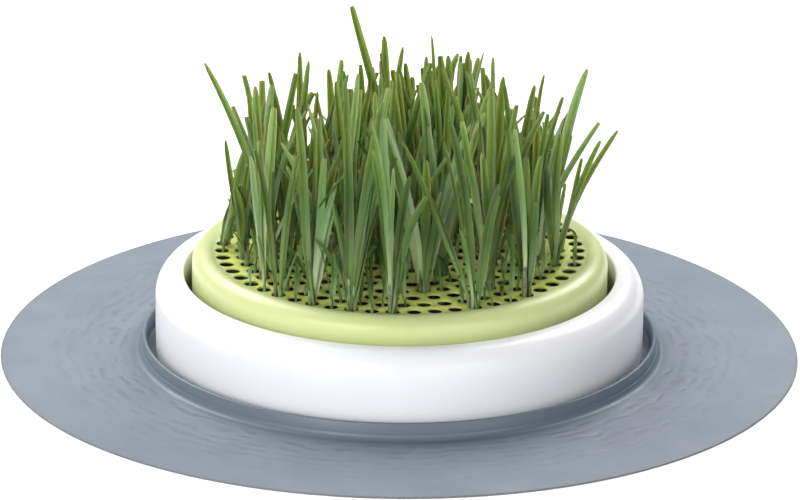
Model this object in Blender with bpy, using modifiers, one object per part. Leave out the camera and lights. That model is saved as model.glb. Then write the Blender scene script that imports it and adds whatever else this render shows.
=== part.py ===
"""A wheatgrass tray: a round white tray that stands in the well of a wide grey mat, filled with growing
medium and covered by a green grille, with a tuft of grass standing in every few holes of the grille.

The origin is at the middle of the mat's underside, +Z is up and the front is towards -Y. Lengths are given
in millimetres and become metres where a mesh is made. Run it in Blender 4.5.
"""

import math
import random

import bmesh
import bpy
from mathutils import Matrix, Vector
from mathutils.bvhtree import BVHTree

MM = 0.001
TURN_STEPS = 48
GAP = 0.3

# Mat: a thin round sheet with a raised collar around the well that the tray stands in
MAT_RADIUS = 200.0
MAT_EDGE_TOP = 0.9
MAT_EDGE_ROUND = 0.4
COLLAR_FOOT_RADIUS = 132.0
COLLAR_FOOT_TOP = 2.4
COLLAR_OUTER_RADIUS = 129.4
COLLAR_INNER_RADIUS = 127.0
COLLAR_TOP = 11.0
COLLAR_ROUND = 0.8
WELL_FLOOR = 1.4
# How far the edge of the brim curls up at the back
BRIM_LIFT = 3.4

# Tray: a moulded shell with a rounded shoulder, a ledge for the grille and a round pot in the middle
TRAY_RADIUS = 122.3
TRAY_WALL = 2.4
TRAY_BASE = WELL_FLOOR + GAP
TRAY_CREST_RADIUS = 112.0
TRAY_CREST = 43.6
TRAY_MOUTH_RADIUS = 108.0
MOUTH_ROUND = 1.2
SKIRT_TAPER = 0.3
SHOULDER_START = 31.5
LEDGE_TOP = 11.0
POT_RADIUS = 100.5
POT_FLOOR = TRAY_BASE + TRAY_WALL

# Grille: a perforated plate inside a rounded rim whose skirt stands on the ledge
GRILLE_RADIUS = 104.0
GRILLE_WALL = 2.4
RIM_SHOULDER = 48.0
RIM_CREST = 55.2
RIM_CREST_RADIUS = 96.5
PLATE_RADIUS = 92.8
PLATE_ROUND = 1.4
PLATE_TOP = 54.0
PLATE_THICKNESS = 1.2
# The holes lie on rings round one in the middle, all rings starting from the same heading
HOLE_RINGS = 9
HOLE_RING_PITCH = 9.87
HOLES_MORE_PER_RING = 6
HOLE_HEADING = math.radians(1.3)
HOLE_CORNER_RADIUS = 4.2

# Growing medium
MEDIUM_RADIUS = POT_RADIUS - 1.3 * GAP
MEDIUM_TOP = 47.0
ROOT_HOLE_BOTTOM = 37.0

# Grass
TUFT_COUNT = 54
BUNDLE_RADIUS = 2.35
BUNDLE_TOP = 57.0
BUNDLE_BOTTOM = ROOT_HOLE_BOTTOM + GAP
BLADE_START = 53.0
BLADE_ROOT_RADIUS = 1.4
BLADES_IN_TUFT = 5
BLADES_IN_RIM_TUFT = 4
RIM_TUFT_DISTANCE = 76.0
BLADE_CLEARANCE = 0.45
BLADE_BACK = 0.35
BLADE_KEEL = 0.8
# Places along a blade, from root to tip, and the share of its full width there
BLADE_RINGS = ((0.0, 0.26), (0.32, 1.0), (0.86, 0.72))
# How far up a blade's curve its middle point lies
BEND_HEIGHT = 0.52
TIP_FIELD_RADIUS = 91.0
LOWEST_TIP = 81.0
BLADE_LENGTHS = (64.0, 112.0)
BLADE_WIDTHS = (3.8, 5.8)
BLADE_LEANS = (4.0, 20.0)
BLADE_BOWS = (0.2, 0.5)
# How high the grass stands across the tray, as (x, height) from left to right, and how that falls with y
CANOPY = [
    (-91, 63), (-84, 87), (-78, 91), (-75, 135), (-72, 145), (-65, 144), (-61, 121), (-56, 116), (-53, 153),
    (-43, 137), (-35, 152), (-25, 158), (-12, 158), (0, 158), (20, 162), (40, 161), (50, 149), (56, 131),
    (65, 141), (75, 135), (88, 143), (95, 117),
]
CANOPY_FALL_BACK = 0.37
CANOPY_RAGGED = (0.87, 1.0)
# A blade that would cross another tuft's is drawn again, at most this often
TRIES = 80
GRASS_SEED = 7

# Blades that are placed by hand: root x and y, tip x, y and z, width, and bow, which is small for a blade
# that starts upright and leans over later
PLACED_BLADES = [
    (2, 26, -24.6, 36, 170.5, 5.2, 0.45),
    (-13, 30, -20.5, 33, 141, 4.2, 0.40),
    (-55, -19, -95.5, -10, 156, 4.4, 0.42),
    (-82, -10, -86.3, -10, 115, 3.6, 0.50),
    (-68, 20, -76.6, 20, 140, 4.8, 0.40),
    (-68, -2, -76, 0, 135, 4.2, 0.35),
    (-52, 8, -66.5, 12, 143, 5.0, 0.45),
    (-50, 30, -51.5, 32, 147.5, 4.2, 0.40),
    (-50, 30, -47.5, 26, 145, 4.4, 0.35),
    (-36, 52, -37.5, 50, 132.5, 4.6, 0.40),
    (-30, 36, -31.4, 38, 142, 5.0, 0.40),
    (-6, 46, -8.8, 45, 152, 5.4, 0.40),
    (-6, 46, -14.5, 44, 137, 4.2, 0.35),
    (2, 26, 0.3, 30, 142, 4.6, 0.40),
    (6, 62, 3.8, 60, 131.6, 4.2, 0.40),
    (10, 40, 11.8, 40, 143, 4.6, 0.40),
    (16, 52, 14.8, 50, 151, 2.8, 0.40),
    (18, 18, 19.8, 24, 149, 4.6, 0.40),
    (30, 50, 28.9, 50, 141, 4.4, 0.40),
    (30, 50, 33.5, 48, 140, 4.6, 0.35),
    (27, 30, 38, 30, 146, 5.6, 0.15),
    (45, 44, 46.5, 45, 141, 3.2, 0.40),
    (45, 44, 41.5, 42, 137, 4.6, 0.35),
    (48, -22, 50, -15, 151, 5.8, 0.35),
    (48, -54, 56.5, -50, 148, 4.6, 0.15),
    (60, 8, 64.6, 10, 139, 4.8, 0.35),
    (64, 24, 69, 20, 142, 3.4, 0.35),
    (62, -28, 78, -20, 143, 4.4, 0.10),
    (70, -4, 90.7, 0, 151, 5.4, 0.38),
    (68, -18, 97.7, -7, 125, 4.2, 0.15),
    (78, -14, 99, -16, 118, 4.0, 0.25),
    (78, 6, 107, 2, 118, 4.6, 0.30),
    (-22, -85, -9.3, -72, 156, 5.8, 0.35),
    (-22, -85, -26, -76, 145, 6.0, 0.40),
    (-45, -72, -51, -68, 152, 6.0, 0.35),
    (-45, -72, -37, -66, 125, 4.6, 0.35),
    (-63, -18, -61, -14, 131, 6.0, 0.35),
    (-68, -44, -70, -40, 115, 5.0, 0.40),
    (0, -86, -8.3, -75, 149, 5.4, 0.40),
    (0, -86, 3, -78, 121, 4.8, 0.35),
    (32, -78, 0, -70, 135, 3.6, 0.45),
    (32, -78, 26, -70, 147, 5.0, 0.35),
    (32, -78, 47, -72, 115, 4.2, 0.30),
    (56, -62, 52, -58, 137, 6.0, 0.35),
    (56, -62, 62, -56, 123, 5.0, 0.35),
]
# More roots along the front and the sides, where the grille shows between the tufts
FRONT_ROOTS = [(-43, -52), (14, -56), (-24, -60), (78, 36)]


def clear_scene():
    for thing in list(bpy.data.objects):
        bpy.data.objects.remove(thing, do_unlink=True)


def make_collection(name):
    group = bpy.data.collections.new(name)
    bpy.context.scene.collection.children.link(group)
    return group


def make_material(name, colour, roughness):
    material = bpy.data.materials.new(name)
    material.use_nodes = True
    shader = material.node_tree.nodes["Principled BSDF"]
    shader.inputs["Base Color"].default_value = (*colour, 1.0)
    shader.inputs["Roughness"].default_value = roughness
    shader.inputs["Metallic"].default_value = 0.0
    return material


def make_object(name, mesh, group, material=None):
    thing = bpy.data.objects.new(name, mesh)
    group.objects.link(thing)
    if material:
        mesh.materials.append(material)
    return thing


def turned(name, profile, group, material, rise=None):
    """A profile of (radius, height) points, from the top down its outer side, turned round the axis.

    rise gives how far the turned surface is then lifted at a place (x, y).
    """
    points = [(radius * MM, 0.0, height * MM) for radius, height in profile]
    closed = profile[0][0] > 0
    count = len(points)
    edges = [(i, (i + 1) % count) for i in range(count if closed else count - 1)]
    mesh = bpy.data.meshes.new(name)
    mesh.from_pydata(points, edges, [])
    thing = make_object(name, mesh, group, material)
    screw = thing.modifiers.new("Turn", "SCREW")
    screw.steps = TURN_STEPS
    screw.render_steps = TURN_STEPS
    screw.use_merge_vertices = True
    screw.merge_threshold = 0.00001
    screw.use_smooth_shade = True
    if rise:
        turned_thing = thing.evaluated_get(bpy.context.evaluated_depsgraph_get())
        thing.data = bpy.data.meshes.new_from_object(turned_thing)
        thing.modifiers.clear()
        for vertex in thing.data.vertices:
            vertex.co.z += rise(vertex.co.x / MM, vertex.co.y / MM) * MM
    flat = thing.modifiers.new("Flat faces in one", "DECIMATE")
    flat.decimate_type = "DISSOLVE"
    flat.angle_limit = math.radians(0.5)
    return thing


def mat_profile():
    """Well floor, collar, brim and its thin edge, then the underside, flat up to the collar's foot."""
    return [
        (0, WELL_FLOOR),
        (COLLAR_INNER_RADIUS - COLLAR_ROUND, WELL_FLOOR),
        (COLLAR_INNER_RADIUS, WELL_FLOOR + COLLAR_ROUND),
        (COLLAR_INNER_RADIUS, COLLAR_TOP - COLLAR_ROUND),
        (COLLAR_INNER_RADIUS + COLLAR_ROUND, COLLAR_TOP),
        (COLLAR_OUTER_RADIUS - COLLAR_ROUND / 2, COLLAR_TOP - COLLAR_ROUND),
        (COLLAR_OUTER_RADIUS, COLLAR_FOOT_TOP + 3 * COLLAR_ROUND),
        (COLLAR_FOOT_RADIUS, COLLAR_FOOT_TOP),
        (MAT_RADIUS - MAT_EDGE_ROUND, MAT_EDGE_TOP),
        (MAT_RADIUS, MAT_EDGE_TOP - MAT_EDGE_ROUND),
        (MAT_RADIUS, 0),
        (COLLAR_FOOT_RADIUS, 0),
        (0, 0),
    ]


def brim_rise(x, y):
    """The brim's lift, which grows outwards from the collar and towards the back."""
    radius = math.hypot(x, y)
    if y <= 0 or radius <= COLLAR_FOOT_RADIUS:
        return 0.0
    outwards = (radius - COLLAR_FOOT_RADIUS) / (MAT_RADIUS - COLLAR_FOOT_RADIUS)
    return BRIM_LIFT * outwards * (y / radius) ** 2


def shoulder_arc(crest_radius, crest, side_radius, side_top, steps=4):
    """A quarter of an ellipse from the crest out and down to the upright side."""
    arc = []
    for step in range(steps + 1):
        angle = math.pi / 2 * step / steps
        radius = crest_radius + (side_radius - crest_radius) * math.sin(angle)
        height = side_top + (crest - side_top) * math.cos(angle)
        arc.append((radius, height))
    return arc


def tray_profile():
    """Pot floor and wall, ledge, mouth, rounded shoulder and skirt, then back up under the shell."""
    skirt_inside = TRAY_RADIUS - TRAY_WALL
    mouth_back = TRAY_MOUTH_RADIUS + TRAY_WALL
    pot_outside = POT_RADIUS + TRAY_WALL
    return [
        (0, POT_FLOOR),
        (POT_RADIUS, POT_FLOOR),
        (POT_RADIUS, LEDGE_TOP),
        (TRAY_MOUTH_RADIUS, LEDGE_TOP),
        (TRAY_MOUTH_RADIUS, TRAY_CREST - MOUTH_ROUND),
        (TRAY_MOUTH_RADIUS + MOUTH_ROUND, TRAY_CREST),
        *shoulder_arc(TRAY_CREST_RADIUS, TRAY_CREST, TRAY_RADIUS, SHOULDER_START),
        (TRAY_RADIUS - SKIRT_TAPER, TRAY_BASE),
        (skirt_inside - SKIRT_TAPER, TRAY_BASE),
        *reversed(shoulder_arc(mouth_back, TRAY_CREST - TRAY_WALL, skirt_inside, SHOULDER_START, 2)),
        (mouth_back, LEDGE_TOP - TRAY_WALL),
        (pot_outside, LEDGE_TOP - TRAY_WALL),
        (pot_outside, TRAY_BASE),
        (0, TRAY_BASE),
    ]


def grille_profile():
    """Plate, rounded rim and skirt down to the ledge, then back up inside it."""
    skirt_foot = LEDGE_TOP + GAP
    skirt_inside = GRILLE_RADIUS - GRILLE_WALL
    return [
        (0, PLATE_TOP),
        (PLATE_RADIUS, PLATE_TOP),
        (PLATE_RADIUS + PLATE_ROUND, RIM_CREST - (RIM_CREST - PLATE_TOP) / 3),
        *shoulder_arc(RIM_CREST_RADIUS, RIM_CREST, GRILLE_RADIUS, RIM_SHOULDER, 3),
        (GRILLE_RADIUS, skirt_foot),
        (skirt_inside, skirt_foot),
        (skirt_inside, PLATE_TOP - PLATE_THICKNESS - PLATE_ROUND),
        (skirt_inside - PLATE_ROUND, PLATE_TOP - PLATE_THICKNESS),
        (0, PLATE_TOP - PLATE_THICKNESS),
    ]


def medium_profile():
    bottom = POT_FLOOR + GAP
    return [(0, MEDIUM_TOP), (MEDIUM_RADIUS, MEDIUM_TOP), (MEDIUM_RADIUS, bottom), (0, bottom)]


def hole_centres():
    """The grille's holes: one in the middle, then rings, each with six holes more than the last."""
    centres = [(0.0, 0.0)]
    for ring in range(1, HOLE_RINGS + 1):
        count = HOLES_MORE_PER_RING * ring
        for number in range(count):
            heading = HOLE_HEADING + 2 * math.pi * number / count
            radius = HOLE_RING_PITCH * ring
            centres.append((radius * math.cos(heading), radius * math.sin(heading)))
    return centres


def nearest(spot, centres):
    return min(centres, key=lambda centre: math.dist(spot, centre))


def tuft_centres(centres):
    """The holes of the placed roots first, then each time a hole far from every tuft so far."""
    draw = random.Random(GRASS_SEED)
    wanted = [blade[:2] for blade in PLACED_BLADES] + FRONT_ROOTS
    chosen = []
    for spot in wanted:
        centre = nearest(spot, centres)
        if centre not in chosen:
            chosen.append(centre)
    while len(chosen) < TUFT_COUNT:
        def spare_room(centre):
            return math.dist(centre, nearest(centre, chosen)) + draw.uniform(0.0, 4.0)
        chosen.append(max(centres, key=spare_room))
    return chosen


def hole_cutter(name, centres, bottom, top, group):
    """Four-sided pins, one in each hole with a side to the axis, as one mesh."""
    mesh = bmesh.new()
    for x, y in centres:
        made = bmesh.ops.create_cone(
            mesh,
            cap_ends=True,
            segments=4,
            radius1=HOLE_CORNER_RADIUS * MM,
            radius2=HOLE_CORNER_RADIUS * MM,
            depth=(top - bottom) * MM,
        )
        turn = Matrix.Rotation(math.atan2(y, x) + math.radians(45), 3, "Z")
        bmesh.ops.rotate(mesh, verts=made["verts"], cent=(0, 0, 0), matrix=turn)
        middle = Vector((x, y, (top + bottom) / 2)) * MM
        bmesh.ops.translate(mesh, verts=made["verts"], vec=middle)
    data = bpy.data.meshes.new(name)
    mesh.to_mesh(data)
    mesh.free()
    cutter = make_object(name, data, group)
    cutter.hide_render = True
    cutter.display_type = "WIRE"
    return cutter


def cut(thing, cutter):
    modifier = thing.modifiers.new("Holes", "BOOLEAN")
    modifier.operation = "DIFFERENCE"
    modifier.object = cutter


def blade_shape(root, bend, tip, width, turn, spare=0.0):
    """A keeled blade on a curve from root to tip: rings of three points, closed by the point of the tip."""
    across = Vector((math.cos(turn), math.sin(turn), 0.0))
    points = []
    for share, fullness in BLADE_RINGS:
        centre = root * (1 - share) ** 2 + bend * 2 * share * (1 - share) + tip * share**2
        along = ((bend - root) * (1 - share) + (tip - bend) * share).normalized()
        side = (across - along * across.dot(along)).normalized()
        keel = along.cross(side)
        half = width / 2 * fullness + spare
        back = centre - keel * (BLADE_BACK * fullness + spare)
        points.append(back - side * half)
        points.append(back + side * half)
        points.append(centre + keel * (BLADE_KEEL * fullness + spare))
    points.append(tip + (tip - bend).normalized() * spare)
    faces = [(2, 1, 0)]
    for ring in range(0, len(points) - 4, 3):
        for i in range(3):
            j = (i + 1) % 3
            faces.append((ring + i, ring + j, ring + 3 + j))
            faces.append((ring + i, ring + 3 + j, ring + 3 + i))
    last = len(points) - 4
    for i in range(3):
        faces.append((last + i, last + (i + 1) % 3, last + 3))
    return points, faces


class Turf:
    """Every blade that stands so far, so that a new one keeps clear of the other tufts."""

    def __init__(self, tufts, draw):
        self.blades = {tuft: [] for tuft in tufts}
        self.places = {tuft: self.places_round(draw) for tuft in tufts}

    def places_round(self, draw):
        """Headings, evenly round the bundle, that a tuft's blades can still take."""
        first = draw.uniform(0.0, 2 * math.pi)
        return [first + index * 2 * math.pi / BLADES_IN_TUFT for index in range(BLADES_IN_TUFT)]

    def is_clear(self, tuft, points, faces):
        tree = BVHTree.FromPolygons(points, faces)
        for other, blades in self.blades.items():
            if other != tuft and any(tree.overlap(blade) for _, _, blade in blades):
                return False
        return True

    def try_blade(self, tuft, place, tip, bow, width, twist):
        """The blade leaves the hole steeply at its place in the bundle and leans out towards its tip."""
        root = Vector((
            tuft[0] + BLADE_ROOT_RADIUS * math.cos(place),
            tuft[1] + BLADE_ROOT_RADIUS * math.sin(place),
            BLADE_START,
        ))
        bend = Vector((
            root.x + (tip.x - root.x) * bow,
            root.y + (tip.y - root.y) * bow,
            root.z + (tip.z - root.z) * BEND_HEIGHT,
        ))
        turn = place + math.pi / 2 + twist
        thick_points, faces = blade_shape(root, bend, tip, width, turn, BLADE_CLEARANCE)
        if not self.is_clear(tuft, thick_points, faces):
            return False
        points, faces = blade_shape(root, bend, tip, width, turn)
        self.blades[tuft].append((points, faces, BVHTree.FromPolygons(points, faces)))
        self.places[tuft].remove(place)
        return True


def turn_between(first, second):
    """The smaller angle between two headings."""
    return abs(math.remainder(first - second, 2 * math.pi))


def plant_placed_blades(turf, tufts, draw):
    for root_x, root_y, tip_x, tip_y, tip_z, width, bow in PLACED_BLADES:
        tuft = nearest((root_x, root_y), tufts)
        heading = math.atan2(tip_y - tuft[1], tip_x - tuft[0])
        place = min(turf.places[tuft], key=lambda free: turn_between(free, heading))
        for attempt in range(TRIES):
            loose = attempt * 0.15
            tip = Vector((
                tip_x + draw.uniform(-loose, loose),
                tip_y + draw.uniform(-loose, loose) * 3,
                tip_z,
            ))
            if turf.try_blade(tuft, place, tip, bow, width, draw.uniform(-0.4, 0.4)):
                break


def canopy_height(x, y):
    """The height between the two places of CANOPY on each side of x, less the fall towards the back."""
    x = min(max(x, CANOPY[0][0]), CANOPY[-1][0])
    for (left, left_height), (right, right_height) in zip(CANOPY, CANOPY[1:]):
        if x <= right:
            share = (x - left) / (right - left)
            return left_height + (right_height - left_height) * share - CANOPY_FALL_BACK * y


def plant_fillers(turf, tuft, draw):
    """Blades in the tuft's free places, with fewer in the tufts that stand close to the rim."""
    wanted = BLADES_IN_RIM_TUFT if math.hypot(*tuft) > RIM_TUFT_DISTANCE else BLADES_IN_TUFT
    missing = max(0, wanted - len(turf.blades[tuft]))
    for place in list(turf.places[tuft])[:missing]:
        for _ in range(TRIES):
            heading = place + draw.uniform(-0.4, 0.4)
            lean = math.radians(draw.uniform(*BLADE_LEANS))
            length = draw.uniform(*BLADE_LENGTHS)
            reach = length * math.sin(lean)
            tip_x = tuft[0] + reach * math.cos(heading)
            tip_y = tuft[1] + reach * math.sin(heading)
            highest = canopy_height(tip_x, tip_y) * draw.uniform(*CANOPY_RAGGED)
            top = min(BUNDLE_TOP + length * math.cos(lean), highest)
            if math.hypot(tip_x, tip_y) > TIP_FIELD_RADIUS or top < LOWEST_TIP:
                continue
            tip = Vector((tip_x, tip_y, top))
            bow = draw.uniform(*BLADE_BOWS)
            width = draw.uniform(*BLADE_WIDTHS)
            if turf.try_blade(tuft, place, tip, bow, width, draw.uniform(-0.5, 0.5)):
                break


def plant_grass(tufts):
    draw = random.Random(GRASS_SEED)
    turf = Turf(tufts, draw)
    plant_placed_blades(turf, tufts, draw)
    for tuft in tufts:
        plant_fillers(turf, tuft, draw)
    return turf


def join_tuft(name, tuft, blades, group, material):
    """The blades fused to the bundle of stems that stands through the hole down into the medium."""
    loose = make_collection(name + " blades")
    for points, faces, _ in blades:
        mesh = bpy.data.meshes.new("blade")
        mesh.from_pydata([point * MM for point in points], [], faces)
        make_object("blade", mesh, loose)
    bundle = bmesh.new()
    bmesh.ops.create_cone(
        bundle,
        cap_ends=True,
        segments=6,
        radius1=BUNDLE_RADIUS * MM,
        radius2=BUNDLE_RADIUS * MM,
        depth=(BUNDLE_TOP - BUNDLE_BOTTOM) * MM,
    )
    middle = Vector((tuft[0], tuft[1], (BUNDLE_TOP + BUNDLE_BOTTOM) / 2)) * MM
    bmesh.ops.translate(bundle, verts=bundle.verts, vec=middle)
    mesh = bpy.data.meshes.new(name)
    bundle.to_mesh(mesh)
    bundle.free()
    thing = make_object(name, mesh, group, material)
    union = thing.modifiers.new("Join", "BOOLEAN")
    union.operation = "UNION"
    union.operand_type = "COLLECTION"
    union.collection = loose
    union.solver = "EXACT"
    joined = thing.evaluated_get(bpy.context.evaluated_depsgraph_get())
    mesh = bpy.data.meshes.new_from_object(joined)
    thing.modifiers.clear()
    thing.data = mesh
    for blade in list(loose.objects):
        bpy.data.objects.remove(blade, do_unlink=True)
    bpy.data.collections.remove(loose)
    return thing


def main():
    clear_scene()
    parts = make_collection("wheatgrass tray")
    cutters = make_collection("cutters")
    grey = make_material("mat grey", (0.30, 0.35, 0.41), 0.55)
    white = make_material("tray white", (0.90, 0.90, 0.94), 0.35)
    green = make_material("grille green", (0.72, 0.81, 0.42), 0.4)
    brown = make_material("growing medium brown", (0.06, 0.035, 0.02), 0.95)
    grass = make_material("grass green", (0.09, 0.19, 0.045), 0.5)

    holes = hole_centres()
    tufts = tuft_centres(holes)
    turned("mat", mat_profile(), parts, grey, brim_rise)
    turned("tray", tray_profile(), parts, white)
    grille = turned("grille", grille_profile(), parts, green)
    below_plate = PLATE_TOP - PLATE_THICKNESS - 2
    cut(grille, hole_cutter("grille holes", holes, below_plate, PLATE_TOP + 2, cutters))
    medium = turned("growing_medium", medium_profile(), parts, brown)
    cut(medium, hole_cutter("root holes", tufts, ROOT_HOLE_BOTTOM, MEDIUM_TOP + 2, cutters))

    turf = plant_grass(tufts)
    for number, tuft in enumerate(tufts, start=1):
        join_tuft(f"tuft_{number:02d}", tuft, turf.blades[tuft], parts, grass)


main()
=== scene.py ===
"""Dresses the wheatgrass tray: grey mat, white tray, growing medium, green grille and the grass."""
import math
import random

import bpy
import numpy as np
from mathutils import Matrix, Vector
from mathutils.bvhtree import BVHTree


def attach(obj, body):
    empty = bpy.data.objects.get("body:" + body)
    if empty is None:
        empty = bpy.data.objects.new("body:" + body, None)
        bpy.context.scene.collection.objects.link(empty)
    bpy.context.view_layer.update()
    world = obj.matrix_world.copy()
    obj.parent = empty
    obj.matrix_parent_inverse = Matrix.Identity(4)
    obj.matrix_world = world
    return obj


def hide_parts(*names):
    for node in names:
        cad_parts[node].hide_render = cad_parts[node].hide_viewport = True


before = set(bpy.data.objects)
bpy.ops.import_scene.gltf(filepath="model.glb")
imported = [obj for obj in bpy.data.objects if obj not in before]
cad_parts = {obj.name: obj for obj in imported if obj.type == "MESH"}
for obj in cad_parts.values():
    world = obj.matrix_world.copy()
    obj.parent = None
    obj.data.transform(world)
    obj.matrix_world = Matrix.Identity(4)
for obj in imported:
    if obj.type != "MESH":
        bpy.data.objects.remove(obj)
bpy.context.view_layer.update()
MM = 0.001


# The studio. A pale floor, two low soft lamps in front, two high ones behind that light the brim and the
# grass from both sides, and a long-lens camera that looks down a little, from straight in front.
def soft_lamp(name, way, lift, size, watts):
    """A round soft lamp aimed at the tray: way is its turn from the front, to the right, lift its height."""
    way, lift = math.radians(way), math.radians(lift)
    place = Vector((math.sin(way) * math.cos(lift), -math.cos(way) * math.cos(lift), math.sin(lift))) * 2.4
    light = bpy.data.lights.new(name, "AREA")
    light.shape = "DISK"
    light.size = size
    light.energy = watts
    lamp = bpy.data.objects.new(name, light)
    lamp.location = place
    lamp.rotation_euler = (Vector((0, 0, 0.06)) - place).to_track_quat("-Z", "Y").to_euler()
    lamp.visible_camera = False
    bpy.context.scene.collection.objects.link(lamp)


studio = bpy.context.scene
soft_lamp("front left lamp", -31, 21, 1.4, 39)
soft_lamp("front right lamp", 32, 20, 1.4, 13)
soft_lamp("back left lamp", -140, 48, 1.8, 62)
soft_lamp("back right lamp", 150, 45, 1.6, 47)
sky = bpy.data.worlds.new("white studio")
sky.use_nodes = True
sky.node_tree.nodes["Background"].inputs["Color"].default_value = (0.97, 0.985, 1.0, 1)
sky.node_tree.nodes["Background"].inputs["Strength"].default_value = 0.05
studio.world = sky
studio.view_settings.view_transform = "Standard"

bpy.ops.object.select_all(action="DESELECT")
bpy.ops.mesh.primitive_plane_add(size=16, location=(0, 0, 0))
floor = bpy.context.active_object
floor.name = "studio floor"
floor_paint = bpy.data.materials.new("studio floor")
floor_paint.use_nodes = True
floor_shader = floor_paint.node_tree.nodes["Principled BSDF"]
floor_shader.inputs["Base Color"].default_value = (0.95, 0.95, 0.95, 1)
floor_shader.inputs["Roughness"].default_value = 0.9
floor.data.materials.append(floor_paint)

CAMERA_DISTANCE = 3.5
CAMERA_LIFT = math.radians(20.53)
CAMERA_ROLL = math.radians(0.5)
camera_data = bpy.data.cameras.new("long lens")
camera_data.sensor_width = 36
camera_data.lens = 313.2
camera_data.clip_end = 60
camera = bpy.data.objects.new("long lens", camera_data)
studio.collection.objects.link(camera)
stand = Vector((0, -math.cos(CAMERA_LIFT), math.sin(CAMERA_LIFT))) * CAMERA_DISTANCE
aim = (Vector((0, 0, 0.0542)) - stand).to_track_quat("-Z", "Y").to_matrix().to_4x4()
camera.matrix_world = Matrix.Translation(stand) @ aim @ Matrix.Rotation(CAMERA_ROLL, 4, "Z")
studio.camera = camera


# The mat. One moulded sheet of grey plastic: a flat well in the middle, a smooth raised collar round it,
# and a wide brim with wavering rows of shallow furrows that thins from the collar out to its edge.
# Painted shade darkens the furrows, the collar and a thin line round the outer edge.
def deselect():
    if bpy.context.mode != "OBJECT":
        bpy.ops.object.mode_set(mode="OBJECT")
    bpy.ops.object.select_all(action="DESELECT")


def turn_rings(name, rings, steps, closed=False):
    """Extrudes a circle from ring to ring; rings are (radius, height) in mm. Open ends are filled flat."""
    deselect()
    radius, height = rings[0]
    bpy.ops.mesh.primitive_circle_add(vertices=steps, radius=radius * MM, location=(0, 0, height * MM))
    piece = bpy.context.active_object
    piece.name = name
    piece.data.name = name
    bpy.ops.object.transform_apply(location=True, rotation=True, scale=True)
    bpy.ops.object.mode_set(mode="EDIT")
    bpy.ops.mesh.select_all(action="SELECT")
    if not closed:
        bpy.ops.mesh.edge_face_add()
        bpy.ops.mesh.select_all(action="SELECT")
    for (radius, height), (next_radius, next_height) in zip(rings, rings[1:]):
        bpy.ops.mesh.extrude_region() if not closed else bpy.ops.mesh.extrude_edges_indiv()
        grow = next_radius / radius
        bpy.ops.transform.resize(value=(grow, grow, 1), center_override=(0, 0, 0))
        bpy.ops.transform.translate(value=(0, 0, (next_height - height) * MM))
    if closed:
        bpy.ops.mesh.select_all(action="DESELECT")
        bpy.ops.mesh.select_mode(type="EDGE")
        bpy.ops.mesh.select_non_manifold()
        bpy.ops.mesh.bridge_edge_loops()
    bpy.ops.mesh.select_all(action="SELECT")
    bpy.ops.mesh.remove_doubles(threshold=0.000001)
    bpy.ops.mesh.normals_make_consistent(inside=False)
    bpy.ops.object.mode_set(mode="OBJECT")
    bpy.ops.object.shade_smooth_by_angle(angle=math.radians(32))
    return piece


def arc(centre, radius, start, end, steps=6):
    """Points on an arc in the (radius, height) plane, with the angles in degrees from outwards to up."""
    points = []
    for step in range(steps + 1):
        angle = math.radians(start + (end - start) * step / steps)
        points.append((centre[0] + radius * math.cos(angle), centre[1] + radius * math.sin(angle)))
    return points


def new_material(name, roughness):
    material = bpy.data.materials.new(name)
    material.use_nodes = True
    shader = material.node_tree.nodes["Principled BSDF"]
    shader.inputs["Roughness"].default_value = roughness
    return material, material.node_tree, shader


def node(tree, kind, **settings):
    made = tree.nodes.new(kind)
    for key, value in settings.items():
        setattr(made, key, value)
    return made


def maths(tree, operation, first, second=None, third=None):
    made = node(tree, "ShaderNodeMath", operation=operation)
    for index, value in enumerate((first, second, third)):
        if value is None:
            continue
        if isinstance(value, (int, float)):
            made.inputs[index].default_value = value
        else:
            tree.links.new(value, made.inputs[index])
    return made.outputs["Value"]


def spread(tree, value, low, high, to_low=0.0, to_high=1.0):
    """A value taken from one range to another, held at the ends."""
    made = node(tree, "ShaderNodeMapRange", interpolation_type="SMOOTHSTEP")
    made.inputs["From Min"].default_value = low
    made.inputs["From Max"].default_value = high
    made.inputs["To Min"].default_value = to_low
    made.inputs["To Max"].default_value = to_high
    tree.links.new(value, made.inputs["Value"])
    return made.outputs["Result"]


def mixed(tree, share, first, second):
    made = node(tree, "ShaderNodeMix", data_type="RGBA")
    tree.links.new(share, made.inputs["Factor"])
    for socket, colour in ((made.inputs[6], first), (made.inputs[7], second)):
        if isinstance(colour, tuple):
            socket.default_value = (*colour, 1.0)
        else:
            tree.links.new(colour, socket)
    return made.outputs[2]


def noise(tree, place, scale, detail=3.0, roughness=0.55):
    made = node(tree, "ShaderNodeTexNoise")
    made.inputs["Scale"].default_value = scale
    made.inputs["Detail"].default_value = detail
    made.inputs["Roughness"].default_value = roughness
    tree.links.new(place, made.inputs["Vector"])
    return made.outputs["Fac"]


def bump(tree, height, distance, strength, shader):
    made = node(tree, "ShaderNodeBump")
    made.inputs["Distance"].default_value = distance
    made.inputs["Strength"].default_value = strength
    tree.links.new(height, made.inputs["Height"])
    tree.links.new(made.outputs["Normal"], shader.inputs["Normal"])


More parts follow.
